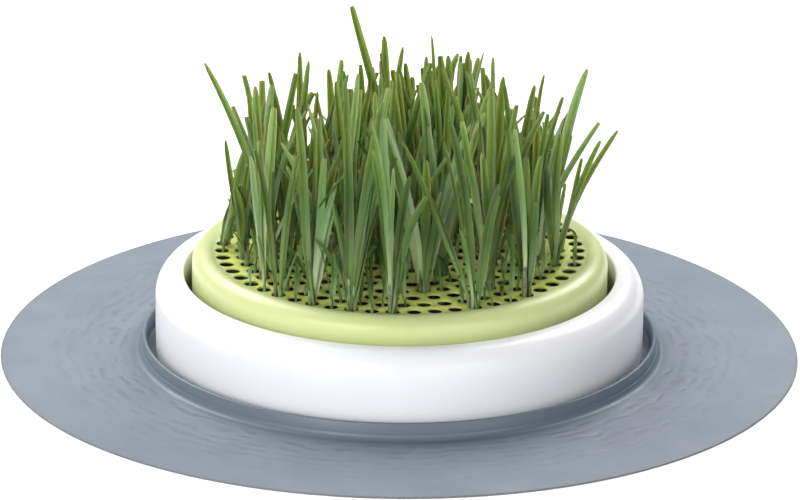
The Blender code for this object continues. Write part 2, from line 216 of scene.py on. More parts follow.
MAT_RADIUS = 200.0
MAT_EDGE_TOP = 0.9
WELL_FLOOR = 1.4
COLLAR_INNER_RADIUS = 127.0
COLLAR_OUTER_RADIUS = 129.4
COLLAR_TOP = 11.0
COLLAR_FOOT_RADIUS = 132.0
COLLAR_FOOT_TOP = 2.4
mat_rings = [
    (60, WELL_FLOOR),
    (COLLAR_INNER_RADIUS - 1.0, WELL_FLOOR),
    *arc((COLLAR_INNER_RADIUS - 1.0, WELL_FLOOR + 1.0), 1.0, -90, 0, 4),
    (COLLAR_INNER_RADIUS, COLLAR_TOP - 1.0),
    *arc((COLLAR_INNER_RADIUS + 1.0, COLLAR_TOP - 1.0), 1.0, 180, 20, 8),
    (COLLAR_OUTER_RADIUS, COLLAR_FOOT_TOP + 3.0),
    *arc((COLLAR_FOOT_RADIUS + 0.8, COLLAR_FOOT_TOP + 3.2), 3.2, 185, 268, 7),
    (150, 2.0),
    (170, 1.6),
    (MAT_RADIUS - 1.4, MAT_EDGE_TOP),
    *arc((MAT_RADIUS - 0.4, MAT_EDGE_TOP - 0.4), 0.4, 90, 0, 5),
    (MAT_RADIUS, 0.2),
    (MAT_RADIUS - 0.2, 0),
    (COLLAR_FOOT_RADIUS, 0),
    (60, 0),
]
mat = turn_rings("mat_sheet", mat_rings, 240)
BRIM_LIFT = 3.4
for vertex in mat.data.vertices:
    radius = math.hypot(vertex.co.x, vertex.co.y) / MM
    if vertex.co.y > 0 and radius > COLLAR_FOOT_RADIUS:
        outwards = (radius - COLLAR_FOOT_RADIUS) / (MAT_RADIUS - COLLAR_FOOT_RADIUS)
        vertex.co.z += BRIM_LIFT * outwards * (vertex.co.y / MM / radius) ** 2 * MM

MAT_GREY = (0.159, 0.188, 0.230)
MAT_GREY_PALE = (0.183, 0.212, 0.256)
FURROW_SHADE_GREY = (0.105, 0.124, 0.150)
COLLAR_SHADE_GREY = (0.146, 0.184, 0.224)
FURROW_PITCH = 0.0068
mat_plastic, tree, shader = new_material("mat grey plastic", 0.5)
place = node(tree, "ShaderNodeTexCoord").outputs["Object"]
apart = node(tree, "ShaderNodeSeparateXYZ")
tree.links.new(place, apart.inputs["Vector"])
across, deep = apart.outputs["X"], apart.outputs["Y"]
squares = maths(tree, "ADD", maths(tree, "MULTIPLY", across, across), maths(tree, "MULTIPLY", deep, deep))
from_axis = maths(tree, "SQRT", squares)
wander = maths(tree, "MULTIPLY", maths(tree, "SUBTRACT", noise(tree, place, 60, 2), 0.5), 0.012)
row = maths(tree, "DIVIDE", maths(tree, "ADD", from_axis, wander), FURROW_PITCH)
furrow = spread(tree, maths(tree, "SINE", maths(tree, "MULTIPLY", row, 2 * math.pi)), -0.7, 1.0)
dash = spread(tree, noise(tree, place, 105, 1), 0.34, 0.68)
brim = spread(tree, from_axis, 0.1335, 0.1380)
fading = maths(tree, "MULTIPLY", brim, spread(tree, from_axis, 0.142, 0.186, 1.0, 0.12))
sunk = maths(tree, "MULTIPLY", maths(tree, "MULTIPLY", furrow, dash), fading)
mottle = noise(tree, place, 26, 4)
plain_grey = mixed(tree, spread(tree, mottle, 0.3, 0.7), MAT_GREY, MAT_GREY_PALE)
# Painted shade: the collar and the well inside it are a slightly darker, bluer grey than the brim, for the shade on the
# collar's walls
shaded_collar_grey = mixed(tree, brim, COLLAR_SHADE_GREY, plain_grey)
# Painted shade: the furrows are coloured a darker grey, most near the collar, for the shade in the dents
shaded_furrows = mixed(tree, maths(tree, "MULTIPLY", sunk, 0.55), shaded_collar_grey, FURROW_SHADE_GREY)
# Painted shade: a thin ring of darker neutral grey along the brim's outer edge, for the shaded edge of the sheet
painted_edge_shade = spread(tree, from_axis, 0.1980, 0.1996, 0.0, 0.6)
tree.links.new(mixed(tree, painted_edge_shade, shaded_furrows, (0.150, 0.150, 0.148)), shader.inputs["Base Color"])
mat_sheen = spread(tree, noise(tree, place, 60, 3), 0.3, 0.7, 0.48, 0.60)
smooth_collar = maths(tree, "MULTIPLY", maths(tree, "SUBTRACT", 1.0, brim), 0.06)
tree.links.new(maths(tree, "SUBTRACT", mat_sheen, smooth_collar), shader.inputs["Roughness"])
grain = maths(tree, "MULTIPLY", noise(tree, place, 900, 2), 0.15)
bump(tree, maths(tree, "SUBTRACT", grain, sunk), 0.0007, 0.3, shader)
mat.data.materials.append(mat_plastic)
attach(mat, "root")
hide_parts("mat")


# The tray. A glossy white moulded shell that stands in the mat's well: a plain round skirt, a full round
# shoulder, a narrow mouth, a ledge inside it for the grille, and the pot that holds the growing medium.
TRAY_RADIUS = 122.3
TRAY_WALL = 2.4
TRAY_BASE = WELL_FLOOR + 0.3
TRAY_CREST_RADIUS = 112.0
TRAY_CREST = 43.6
TRAY_MOUTH_RADIUS = 108.0
SHOULDER_START = 31.5
LEDGE_TOP = 11.0
POT_RADIUS = 100.5
POT_FLOOR = TRAY_BASE + TRAY_WALL


def shoulder(crest_radius, crest, side_radius, side_top, steps=12):
    """A quarter of an ellipse from the crest out and down to the upright side."""
    points = []
    for step in range(steps + 1):
        angle = math.pi / 2 * step / steps
        radius = crest_radius + (side_radius - crest_radius) * math.sin(angle)
        height = side_top + (crest - side_top) * math.cos(angle)
        points.append((radius, height))
    return points


skirt_inside = TRAY_RADIUS - TRAY_WALL
mouth_back = TRAY_MOUTH_RADIUS + TRAY_WALL
tray_rings = [
    (50, POT_FLOOR),
    *arc((POT_RADIUS - 3.0, POT_FLOOR + 3.0), 3.0, -90, 0, 5),
    (POT_RADIUS, LEDGE_TOP - 0.5),
    (POT_RADIUS + 0.5, LEDGE_TOP),
    (TRAY_MOUTH_RADIUS - 0.8, LEDGE_TOP),
    *arc((TRAY_MOUTH_RADIUS - 0.8, LEDGE_TOP + 0.8), 0.8, -90, 0, 3)[1:],
    *arc((TRAY_MOUTH_RADIUS + 1.4, TRAY_CREST - 1.4), 1.4, 180, 92, 6),
    *shoulder(TRAY_CREST_RADIUS, TRAY_CREST, TRAY_RADIUS, SHOULDER_START),
    (TRAY_RADIUS, 17),
    (TRAY_RADIUS - 0.2, TRAY_BASE + 1.0),
    (TRAY_RADIUS - 0.9, TRAY_BASE),
    (skirt_inside + 0.2, TRAY_BASE),
    (skirt_inside, TRAY_BASE + 0.6),
    *reversed(shoulder(mouth_back, TRAY_CREST - TRAY_WALL, skirt_inside, SHOULDER_START, 6)),
    (mouth_back, LEDGE_TOP - TRAY_WALL),
    (POT_RADIUS + TRAY_WALL, LEDGE_TOP - TRAY_WALL),
    (POT_RADIUS + TRAY_WALL, TRAY_BASE + 0.6),
    (POT_RADIUS + TRAY_WALL - 0.6, TRAY_BASE),
    (50, TRAY_BASE),
]
tray = turn_rings("tray_shell", tray_rings, 240)

TRAY_WHITE = (0.86, 0.865, 0.90)
tray_plastic, tree, shader = new_material("tray white plastic", 0.3)
place = node(tree, "ShaderNodeTexCoord").outputs["Object"]
cloud = spread(tree, noise(tree, place, 14, 3), 0.3, 0.7)
unshaded_white = mixed(tree, cloud, TRAY_WHITE, (0.89, 0.89, 0.915))
apart = node(tree, "ShaderNodeSeparateXYZ")
tree.links.new(place, apart.inputs["Vector"])
across, deep, up = apart.outputs["X"], apart.outputs["Y"], apart.outputs["Z"]
squares = maths(tree, "ADD", maths(tree, "MULTIPLY", across, across), maths(tree, "MULTIPLY", deep, deep))
# Painted shade: inside the mouth, below the crest, the wall turns dark olive, for the shade deep in the narrow gap
# round the grille
inside = spread(tree, maths(tree, "SQRT", squares), 0.1092, 0.1082)
painted_gap_shade = maths(tree, "MULTIPLY", inside, spread(tree, up, 0.0405, 0.0290))
tree.links.new(mixed(tree, painted_gap_shade, unshaded_white, (0.24, 0.26, 0.17)), shader.inputs["Base Color"])
tree.links.new(spread(tree, noise(tree, place, 45, 4), 0.3, 0.7, 0.29, 0.33), shader.inputs["Roughness"])
bump(tree, noise(tree, place, 300, 2), 0.00005, 0.05, shader)
tray.data.materials.append(tray_plastic)
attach(tray, "root")
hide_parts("tray")


# The growing medium. Dark moist fibre and peat that fills the pot to just under the grille, uneven on
# top, with a pit where each tuft's stems go down.
MEDIUM_RADIUS = POT_RADIUS - 0.39
MEDIUM_TOP = 47.0
HOLE_RINGS = 9
HOLE_RING_PITCH = 9.87
HOLES_MORE_PER_RING = 6
HOLE_HEADING = math.radians(1.3)
TUFT_COUNT = 54
GRASS_SEED = 7
PLACED_BLADES = [
    (2, 26, -24.6, 36, 170.5, 5.2, 0.45),
    (-13, 30, -20.5, 33, 141, 4.2, 0.40),
    (-55, -19, -95.5, -10, 156, 4.4, 0.42),
    (-82, -10, -86.3, -10, 115, 3.6, 0.50),
    (-68, 20, -76.6, 20, 140, 4.8, 0.40),
    (-68, -2, -76, 0, 135, 4.2, 0.35),
    (-52, 8, -66.5, 12, 143, 5.0, 0.45),
    (-50, 30, -51.5, 32, 147.5, 4.2, 0.40),
    (-50, 30, -47.5, 26, 145, 4.4, 0.35),
    (-36, 52, -37.5, 50, 132.5, 4.6, 0.40),
    (-30, 36, -31.4, 38, 142, 5.0, 0.40),
    (-6, 46, -8.8, 45, 152, 5.4, 0.40),
    (-6, 46, -14.5, 44, 137, 4.2, 0.35),
    (2, 26, 0.3, 30, 142, 4.6, 0.40),
    (6, 62, 3.8, 60, 131.6, 4.2, 0.40),
    (10, 40, 11.8, 40, 143, 4.6, 0.40),
    (16, 52, 14.8, 50, 151, 2.8, 0.40),
    (18, 18, 19.8, 24, 149, 4.6, 0.40),
    (30, 50, 28.9, 50, 141, 4.4, 0.40),
    (30, 50, 33.5, 48, 140, 4.6, 0.35),
    (27, 30, 38, 30, 146, 5.6, 0.15),
    (45, 44, 46.5, 45, 141, 3.2, 0.40),
    (45, 44, 41.5, 42, 137, 4.6, 0.35),
    (48, -22, 50, -15, 151, 5.8, 0.35),
    (48, -54, 56.5, -50, 148, 4.6, 0.15),
    (60, 8, 64.6, 10, 139, 4.8, 0.35),
    (64, 24, 69, 20, 142, 3.4, 0.35),
    (62, -28, 78, -20, 143, 4.4, 0.10),
    (70, -4, 90.7, 0, 151, 5.4, 0.38),
    (68, -18, 97.7, -7, 125, 4.2, 0.15),
    (78, -14, 99, -16, 118, 4.0, 0.25),
    (78, 6, 107, 2, 118, 4.6, 0.30),
    (-22, -85, -9.3, -72, 156, 5.8, 0.35),
    (-22, -85, -26, -76, 145, 6.0, 0.40),
    (-45, -72, -51, -68, 152, 6.0, 0.35),
    (-45, -72, -37, -66, 125, 4.6, 0.35),
    (-63, -18, -61, -14, 131, 6.0, 0.35),
    (-68, -44, -70, -40, 115, 5.0, 0.40),
    (0, -86, -8.3, -75, 149, 5.4, 0.40),
    (0, -86, 3, -78, 121, 4.8, 0.35),
    (32, -78, 0, -70, 135, 3.6, 0.45),
    (32, -78, 26, -70, 147, 5.0, 0.35),
    (32, -78, 47, -72, 115, 4.2, 0.30),
    (56, -62, 52, -58, 137, 6.0, 0.35),
    (56, -62, 62, -56, 123, 5.0, 0.35),
]
FRONT_ROOTS = [(-43, -52), (14, -56), (-24, -60), (78, 36)]


def hole_centres():
    """The grille's holes: one in the middle, then rings, each with six holes more than the last."""
    centres = [(0.0, 0.0)]
    for ring in range(1, HOLE_RINGS + 1):
        count = HOLES_MORE_PER_RING * ring
        for number in range(count):
            heading = HOLE_HEADING + 2 * math.pi * number / count
            radius = HOLE_RING_PITCH * ring
            centres.append((radius * math.cos(heading), radius * math.sin(heading)))
    return centres


def nearest(spot, centres):
    return min(centres, key=lambda centre: math.dist(spot, centre))


def tuft_centres(centres):
    """The holes of the placed roots first, then each time a hole far from every tuft so far."""
    draw = random.Random(GRASS_SEED)
    wanted = [blade[:2] for blade in PLACED_BLADES] + FRONT_ROOTS
    chosen = []
    for spot in wanted:
        centre = nearest(spot, centres)
        if centre not in chosen:
            chosen.append(centre)
    while len(chosen) < TUFT_COUNT:
        def spare_room(centre):
            return math.dist(centre, nearest(centre, chosen)) + draw.uniform(0.0, 4.0)
        chosen.append(max(centres, key=spare_room))
    return chosen


holes = hole_centres()
tufts = tuft_centres(holes)

medium_rings = [(radius, MEDIUM_TOP - 1.2) for radius in np.linspace(2.0, MEDIUM_RADIUS - 1.0, 56)]
medium_rings += [(MEDIUM_RADIUS, MEDIUM_TOP - 2.4), (MEDIUM_RADIUS, POT_FLOOR + 4), (MEDIUM_RADIUS - 3, POT_FLOOR + 0.3)]
medium_rings += [(40, POT_FLOOR + 0.3)]
medium = turn_rings("growing_medium_fill", medium_rings, 160)
tuft_spots = np.array(tufts) * MM
lump_draw = np.random.default_rng(3)
lump_spots = lump_draw.uniform(-0.1, 0.1, (260, 2))
lump_sizes = lump_draw.uniform(0.002, 0.006, 260)
for vertex in medium.data.vertices:
    if vertex.co.z > (MEDIUM_TOP - 2) * MM:
        spot = np.array(vertex.co[:2])
        lump_gaps = np.hypot(*(lump_spots - spot).T) / lump_sizes
        lumps = np.exp(-(lump_gaps**2)).sum()
        pit = math.exp(-((np.hypot(*(tuft_spots - spot).T).min() / 0.003) ** 2))
        vertex.co.z += min(lumps, 1.2) * 0.0011 - pit * 0.0035

medium_crumb, tree, shader = new_material("moist growing medium", 0.9)
place = node(tree, "ShaderNodeTexCoord").outputs["Object"]
crumbs = noise(tree, place, 420, 6, 0.7)
fibres = noise(tree, place, 90, 5, 0.65)
dark_crumb = mixed(tree, spread(tree, crumbs, 0.35, 0.7), (0.018, 0.010, 0.006), (0.115, 0.065, 0.035))
tree.links.new(mixed(tree, spread(tree, fibres, 0.45, 0.8), dark_crumb, (0.06, 0.05, 0.03)), shader.inputs["Base Color"])
bump(tree, crumbs, 0.0015, 1.0, shader)
medium.data.materials.append(medium_crumb)
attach(medium, "root")
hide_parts("growing_medium")


# The grille. A springy green plastic lid: a thin plate with nine rings of holes round one in the middle,
# and a full round rim whose skirt drops inside the tray's mouth and stands on the ledge.
GRILLE_RADIUS = 104.0
GRILLE_WALL = 2.4
RIM_SHOULDER = 48.0
RIM_CREST = 55.2
RIM_CREST_RADIUS = 96.5
PLATE_RADIUS = 92.8
PLATE_TOP = 54.0
PLATE_THICKNESS = 0.8
HOLE_RADIUS = 3.7
skirt_foot = LEDGE_TOP + 0.3
grille_skirt_inside = GRILLE_RADIUS - GRILLE_WALL
plate_bottom = PLATE_TOP - PLATE_THICKNESS
grille_rings = [
    (PLATE_RADIUS - 0.4, PLATE_TOP),
    (PLATE_RADIUS + 0.5, PLATE_TOP + 0.15),
    (PLATE_RADIUS + 1.5, PLATE_TOP + 0.75),
    (PLATE_RADIUS + 2.6, RIM_CREST - 0.12),
    *shoulder(RIM_CREST_RADIUS, RIM_CREST, GRILLE_RADIUS, RIM_SHOULDER, 10),
    (GRILLE_RADIUS, skirt_foot + 0.6),
    (GRILLE_RADIUS - 0.6, skirt_foot),
    (grille_skirt_inside + 0.4, skirt_foot),
    (grille_skirt_inside, skirt_foot + 0.4),
    (grille_skirt_inside, plate_bottom - 2.0),
    (grille_skirt_inside - 2.0, plate_bottom),
    (PLATE_RADIUS - 0.4, plate_bottom),
]
grille = turn_rings("grille_lid", grille_rings, 240)

deselect()
bpy.ops.mesh.primitive_cylinder_add(vertices=20, radius=HOLE_RADIUS * MM, depth=8 * MM, location=(0, 0, 0))
drill = bpy.context.active_object
drills = []
for x, y in holes:
    pin = bpy.data.objects.new("drill", drill.data.copy())
    pin.data.transform(Matrix.Translation(Vector((x, y, PLATE_TOP - 1.2)) * MM))
    studio.collection.objects.link(pin)
    drills.append(pin)
bpy.data.objects.remove(drill)
deselect()
for pin in drills:
    pin.select_set(True)
bpy.context.view_layer.objects.active = drills[0]
bpy.ops.object.join()
drill_set = drills[0]
deselect()
grille.select_set(True)
bpy.context.view_layer.objects.active = grille
holes_cut = grille.modifiers.new("drilled holes", "BOOLEAN")
holes_cut.operation = "DIFFERENCE"
holes_cut.object = drill_set
bpy.ops.object.modifier_apply(modifier="drilled holes")
bpy.data.objects.remove(drill_set)
hole_edge = grille.modifiers.new("softened hole edges", "BEVEL")
hole_edge.width = 0.3 * MM
hole_edge.segments = 2
hole_edge.limit_method = "ANGLE"
hole_edge.angle_limit = math.radians(60)
bpy.ops.object.modifier_apply(modifier="softened hole edges")
bpy.ops.object.shade_smooth_by_angle(angle=math.radians(40))

GRILLE_GREEN = (0.60, 0.665, 0.285)
GRILLE_GREEN_PALE = (0.64, 0.705, 0.335)
PLATE_GREEN = (0.63, 0.71, 0.150)
grille_plastic, tree, shader = new_material("grille green plastic", 0.35)
place = node(tree, "ShaderNodeTexCoord").outputs["Object"]
apart = node(tree, "ShaderNodeSeparateXYZ")
tree.links.new(place, apart.inputs["Vector"])
cloud = spread(tree, noise(tree, place, 18, 3), 0.3, 0.7)
rim_green = mixed(tree, cloud, GRILLE_GREEN, GRILLE_GREEN_PALE)
from_axis = maths(tree, "SQRT", maths(tree, "ADD",
    maths(tree, "MULTIPLY", apart.outputs["X"], apart.outputs["X"]),
    maths(tree, "MULTIPLY", apart.outputs["Y"], apart.outputs["Y"])))
# The plate inside the rim is tinted, in soft patches, a more saturated yellow green than the rim
plate_tint = maths(tree, "MULTIPLY", spread(tree, from_axis, 0.0935, 0.088), spread(tree, noise(tree, place, 45, 5), 0.25, 0.6, 0.6, 1.0))
tree.links.new(mixed(tree, plate_tint, rim_green, PLATE_GREEN), shader.inputs["Base Color"])
tree.links.new(spread(tree, noise(tree, place, 50, 4), 0.3, 0.7, 0.3, 0.42), shader.inputs["Roughness"])
bump(tree, noise(tree, place, 800, 2), 0.0001, 0.3, shader)
grille.data.materials.append(grille_plastic)
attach(grille, "root")
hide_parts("grille")


# The grass. Young wheat in tufts: each tuft's stems rise together out of one hole, wrapped in pale
# sheaths, and open into thin keeled blades that lean apart and end in a short point.
BUNDLE_TOP = 57.0
BLADE_START = 53.0
STEM_FOOT = 39.0
BLADE_ROOT_RADIUS = 1.4
BLADES_IN_TUFT = 5
BLADES_IN_RIM_TUFT = 4
RIM_TUFT_DISTANCE = 76.0
BLADE_CLEARANCE = 0.45
BLADE_BACK = 0.35
BLADE_KEEL = 0.8
BLADE_RINGS = ((0.0, 0.26), (0.32, 1.0), (0.86, 0.72))
BEND_HEIGHT = 0.52
TIP_FIELD_RADIUS = 91.0
LOWEST_TIP = 81.0
BLADE_LENGTHS = (64.0, 112.0)
BLADE_WIDTHS = (3.8, 5.8)
BLADE_LEANS = (4.0, 20.0)
BLADE_BOWS = (0.2, 0.5)
CANOPY = [
    (-91, 63), (-84, 87), (-78, 91), (-75, 135), (-72, 145), (-65, 144), (-61, 121), (-56, 116), (-53, 153),
    (-43, 137), (-35, 152), (-25, 158), (-12, 158), (0, 158), (20, 162), (40, 161), (50, 149), (56, 131),
    (65, 141), (75, 135), (88, 143), (95, 117),
]
CANOPY_FALL_BACK = 0.37
CANOPY_RAGGED = (0.87, 1.0)
TRIES = 80


def blade_frame(root, bend, tip, turn, share):
    """The point at a share of the blade's curve, with its directions across and into the tuft."""
    across = Vector((math.cos(turn), math.sin(turn), 0.0))
    centre = root * (1 - share) ** 2 + bend * 2 * share * (1 - share) + tip * share**2
    along = ((bend - root) * (1 - share) + (tip - bend) * share).normalized()
    side = (across - along * across.dot(along)).normalized()
    return centre, side, along.cross(side)


def blade_shape(root, bend, tip, width, turn, spare=0.0):
    """The plain blade, rings of three points and a tip, that keeps its room clear."""
    points = []
    for share, fullness in BLADE_RINGS:
        centre, side, keel = blade_frame(root, bend, tip, turn, share)
        half = width / 2 * fullness + spare
        back = centre - keel * (BLADE_BACK * fullness + spare)
        points.append(back - side * half)
        points.append(back + side * half)
        points.append(centre + keel * (BLADE_KEEL * fullness + spare))
    points.append(tip + (tip - bend).normalized() * spare)
    faces = [(2, 1, 0)]
    for ring in range(0, len(points) - 4, 3):
        for i in range(3):
            j = (i + 1) % 3
            faces.append((ring + i, ring + j, ring + 3 + j))
            faces.append((ring + i, ring + 3 + j, ring + 3 + i))
    last = len(points) - 4
    for i in range(3):
        faces.append((last + i, last + (i + 1) % 3, last + 3))
    return points, faces


class Turf:
    """Every blade that stands so far, so that a new one keeps clear of the other tufts."""

    def __init__(self, tufts, draw):
        self.blades = {tuft: [] for tuft in tufts}
        self.places = {tuft: self.places_round(draw) for tuft in tufts}

    def places_round(self, draw):
        """Headings, evenly round the bundle, that a tuft's blades can still take."""
        first = draw.uniform(0.0, 2 * math.pi)
        return [first + index * 2 * math.pi / BLADES_IN_TUFT for index in range(BLADES_IN_TUFT)]

    def is_clear(self, tuft, points, faces):
        tree = BVHTree.FromPolygons(points, faces)
        for other, blades in self.blades.items():
            if other != tuft and any(tree.overlap(blade[-1]) for blade in blades):
                return False
        return True

    def try_blade(self, tuft, place, tip, bow, width, twist):
        """The blade leaves the hole steeply at its place in the bundle and leans out towards its tip."""
        root = Vector((
            tuft[0] + BLADE_ROOT_RADIUS * math.cos(place),
            tuft[1] + BLADE_ROOT_RADIUS * math.sin(place),
            BLADE_START,
        ))
        bend = Vector((
            root.x + (tip.x - root.x) * bow,
            root.y + (tip.y - root.y) * bow,
            root.z + (tip.z - root.z) * BEND_HEIGHT,
        ))
        turn = place + math.pi / 2 + twist
        thick_points, faces = blade_shape(root, bend, tip, width, turn, BLADE_CLEARANCE)
        if not self.is_clear(tuft, thick_points, faces):
            return False
        points, faces = blade_shape(root, bend, tip, width, turn)
        self.blades[tuft].append((root, bend, tip, width, turn, BVHTree.FromPolygons(points, faces)))
        self.places[tuft].remove(place)
        return True


def turn_between(first, second):
    """The smaller angle between two headings."""
    return abs(math.remainder(first - second, 2 * math.pi))


def plant_placed_blades(turf, tufts, draw):
    for root_x, root_y, tip_x, tip_y, tip_z, width, bow in PLACED_BLADES:
        tuft = nearest((root_x, root_y), tufts)
        heading = math.atan2(tip_y - tuft[1], tip_x - tuft[0])
        place = min(turf.places[tuft], key=lambda free: turn_between(free, heading))
        for attempt in range(TRIES):
            loose = attempt * 0.15
            tip = Vector((
                tip_x + draw.uniform(-loose, loose),
                tip_y + draw.uniform(-loose, loose) * 3,
                tip_z,
            ))
            if turf.try_blade(tuft, place, tip, bow, width, draw.uniform(-0.4, 0.4)):
                break


def canopy_height(x, y):
    """The height between the two places of CANOPY on each side of x, less the fall towards the back."""
    x = min(max(x, CANOPY[0][0]), CANOPY[-1][0])
    for (left, left_height), (right, right_height) in zip(CANOPY, CANOPY[1:]):
        if x <= right:
            share = (x - left) / (right - left)
            return left_height + (right_height - left_height) * share - CANOPY_FALL_BACK * y


def plant_fillers(turf, tuft, draw):
    """Blades in the tuft's free places, with fewer in the tufts that stand close to the rim."""
    wanted = BLADES_IN_RIM_TUFT if math.hypot(*tuft) > RIM_TUFT_DISTANCE else BLADES_IN_TUFT
    missing = max(0, wanted - len(turf.blades[tuft]))
    for place in list(turf.places[tuft])[:missing]:
        for _ in range(TRIES):
            heading = place + draw.uniform(-0.4, 0.4)
            lean = math.radians(draw.uniform(*BLADE_LEANS))
            length = draw.uniform(*BLADE_LENGTHS)
            reach = length * math.sin(lean)
            tip_x = tuft[0] + reach * math.cos(heading)
            tip_y = tuft[1] + reach * math.sin(heading)
            highest = canopy_height(tip_x, tip_y) * draw.uniform(*CANOPY_RAGGED)
            top = min(BUNDLE_TOP + length * math.cos(lean), highest)
            if math.hypot(tip_x, tip_y) > TIP_FIELD_RADIUS or top < LOWEST_TIP:
                continue
            tip = Vector((tip_x, tip_y, top))
            bow = draw.uniform(*BLADE_BOWS)
            width = draw.uniform(*BLADE_WIDTHS)
            if turf.try_blade(tuft, place, tip, bow, width, draw.uniform(-0.5, 0.5)):
                break


growth_draw = random.Random(GRASS_SEED)
turf = Turf(tufts, growth_draw)
plant_placed_blades(turf, tufts, growth_draw)
placed_blades = {tuft: len(turf.blades[tuft]) for tuft in tufts}
for tuft in tufts:
    plant_fillers(turf, tuft, growth_draw)

# One leaf in its plain form: a four-sided tube of rings, with two edges, an inner fold and an outer keel.
# Every leaf is a copy of it, folded along its keel and laid on its own curve.
RING_SHARES = (-1.0, 0.0, 0.06, 0.14, 0.25, 0.38, 0.52, 0.66, 0.79, 0.9, 0.97, 1.0)
RING_WIDTHS = (0.40, 0.48, 0.60, 0.76, 0.92, 1.0, 1.0, 0.97, 0.90, 0.76, 0.54, 0.22)
deselect()
bpy.ops.mesh.primitive_circle_add(vertices=4, radius=1, fill_type="NGON", location=(0, 0, 0))
plain_leaf = bpy.context.active_object
plain_leaf.name = "plain leaf"
bpy.ops.object.mode_set(mode="EDIT")
bpy.ops.mesh.select_all(action="SELECT")
for _ in RING_SHARES[1:]:
    bpy.ops.mesh.extrude_region()
    bpy.ops.transform.translate(value=(0, 0, 1))
bpy.ops.mesh.select_all(action="SELECT")
bpy.ops.mesh.normals_make_consistent(inside=False)
bpy.ops.object.mode_set(mode="OBJECT")
leaf_points = np.array([vertex.co[:] for vertex in plain_leaf.data.vertices])
leaf_rings = np.rint(leaf_points[:, 2]).astype(int)
leaf_map = plain_leaf.data.uv_layers.active or plain_leaf.data.uv_layers.new(name="UVMap")
for loop, corner in zip(plain_leaf.data.loops, leaf_map.data):
    x, _, ring = leaf_points[loop.vertex_index]
    corner.uv = ((x + 1) / 2, max(RING_SHARES[int(round(ring))], 0.0))
bpy.ops.object.shade_smooth_by_angle(angle=math.radians(38))


def lay_leaf(mesh, curve, width, turn, twist, draw, foot):
    """Moves a plain leaf's points onto a curve (root, bend, tip): rolled at its foot, folded above."""
    root, bend, tip = curve
    fold = draw.uniform(0.35, 0.8)
    blunt = draw.uniform(0.0, 0.9) ** 2
    wave, phase = draw.uniform(0.2, 0.9), draw.uniform(0, 2 * math.pi)
    nod = draw.uniform(0.0, 2.2) ** 2 * 0.5
    outwards = Vector((tip.x - root.x, tip.y - root.y, 0))
    outwards = outwards.normalized() if outwards.length > 1 else Vector((1, 0, 0))
    laid = np.empty_like(leaf_points)
    for ring, (share, fullness) in enumerate(zip(RING_SHARES, RING_WIDTHS)):
        at = max(share, 0.0)
        centre, side, keel = blade_frame(root, bend, tip, turn + twist * min(at * 2, 1.0), at)
        centre += side * wave * math.sin(phase + 5 * at) * min(at * 4, 1.0)
        centre += (outwards - Vector((0, 0, 0.6))) * nod * max(at - 0.6, 0.0) ** 2 / 0.16
        if share < 0:
            centre = Vector((root.x, root.y, foot))
        if share > 0.85:
            fullness += (0.8 - fullness) * blunt
        half = width / 2 * fullness
        rolled = max(1.0 - at / 0.22, 0.0)
        rise = half * (fold * (1 - rolled) + 1.1 * rolled)
        skin = 0.14 + 0.3 * rolled
        for index in np.nonzero(leaf_rings == ring)[0]:
            x, y, _ = leaf_points[index]
            point = centre + side * (x * half * (1.0 - 0.35 * rolled))
            point += keel * (abs(x) * rise - rise * 0.45 + y * skin)
            laid[index] = point * MM
    mesh.vertices.foreach_set("co", laid.ravel())
    mesh.update()


def tone_mesh(mesh, tone):
    attribute = mesh.attributes.new("tone", "FLOAT", "POINT")
    attribute.data.foreach_set("value", np.full(len(mesh.vertices), tone))


# Leaves run from deep green over grass green and yellow green to a pale blue green, with fine long veins,
# a paler foot and, on some, a yellowed tip
grass_leaf, tree, shader = new_material("wheat leaf", 0.5)
tone = node(tree, "ShaderNodeAttribute", attribute_name="tone").outputs["Fac"]
leaf_place = node(tree, "ShaderNodeUVMap", uv_map="UVMap").outputs["UV"]
apart = node(tree, "ShaderNodeSeparateXYZ")
tree.links.new(leaf_place, apart.inputs["Vector"])
leaf_across, leaf_along = apart.outputs["X"], apart.outputs["Y"]
greens = node(tree, "ShaderNodeValToRGB").color_ramp
greens.elements[0].position = 0.0
greens.elements[0].color = (0.009, 0.031, 0.005, 1)
greens.elements[1].position = 1.0
greens.elements[1].color = (0.165, 0.318, 0.130, 1)
for position, colour in ((0.3, (0.018, 0.060, 0.009)), (0.65, (0.043, 0.131, 0.023)), (0.85, (0.090, 0.216, 0.042))):
    greens.elements.new(position).color = (*colour, 1)
ramp = [each for each in tree.nodes if each.bl_idname == "ShaderNodeValToRGB"][0]
tree.links.new(tone, ramp.inputs["Fac"])
sunlit = mixed(tree, spread(tree, leaf_along, 0.55, 1.0, 0.0, 0.3), ramp.outputs["Color"], (0.088, 0.185, 0.037))
foot_green = mixed(tree, spread(tree, tone, 0.45, 0.95), (0.148, 0.248, 0.060), (0.480, 0.610, 0.305))
pale_foot = mixed(tree, spread(tree, leaf_along, 0.06, 0.68), foot_green, sunlit)
vein = maths(tree, "SINE", maths(tree, "MULTIPLY", leaf_across, 2 * math.pi * 8))
veined = mixed(tree, spread(tree, vein, 0.0, 1.0, 0.0, 0.10), pale_foot, (0.20, 0.32, 0.11))
dry_tip = maths(tree, "MULTIPLY", spread(tree, leaf_along, 0.93, 1.0), spread(tree, tone, 0.5, 0.75, 0.0, 0.55))
tree.links.new(mixed(tree, dry_tip, veined, (0.26, 0.24, 0.08)), shader.inputs["Base Color"])
shader.inputs["Specular IOR Level"].default_value = 0.35
shader.inputs["Subsurface Weight"].default_value = 0.25
shader.inputs["Subsurface Radius"].default_value = (1.0, 1.0, 0.3)
shader.inputs["Subsurface Scale"].default_value = 0.002
bump(tree, vein, 0.0001, 0.5, shader)

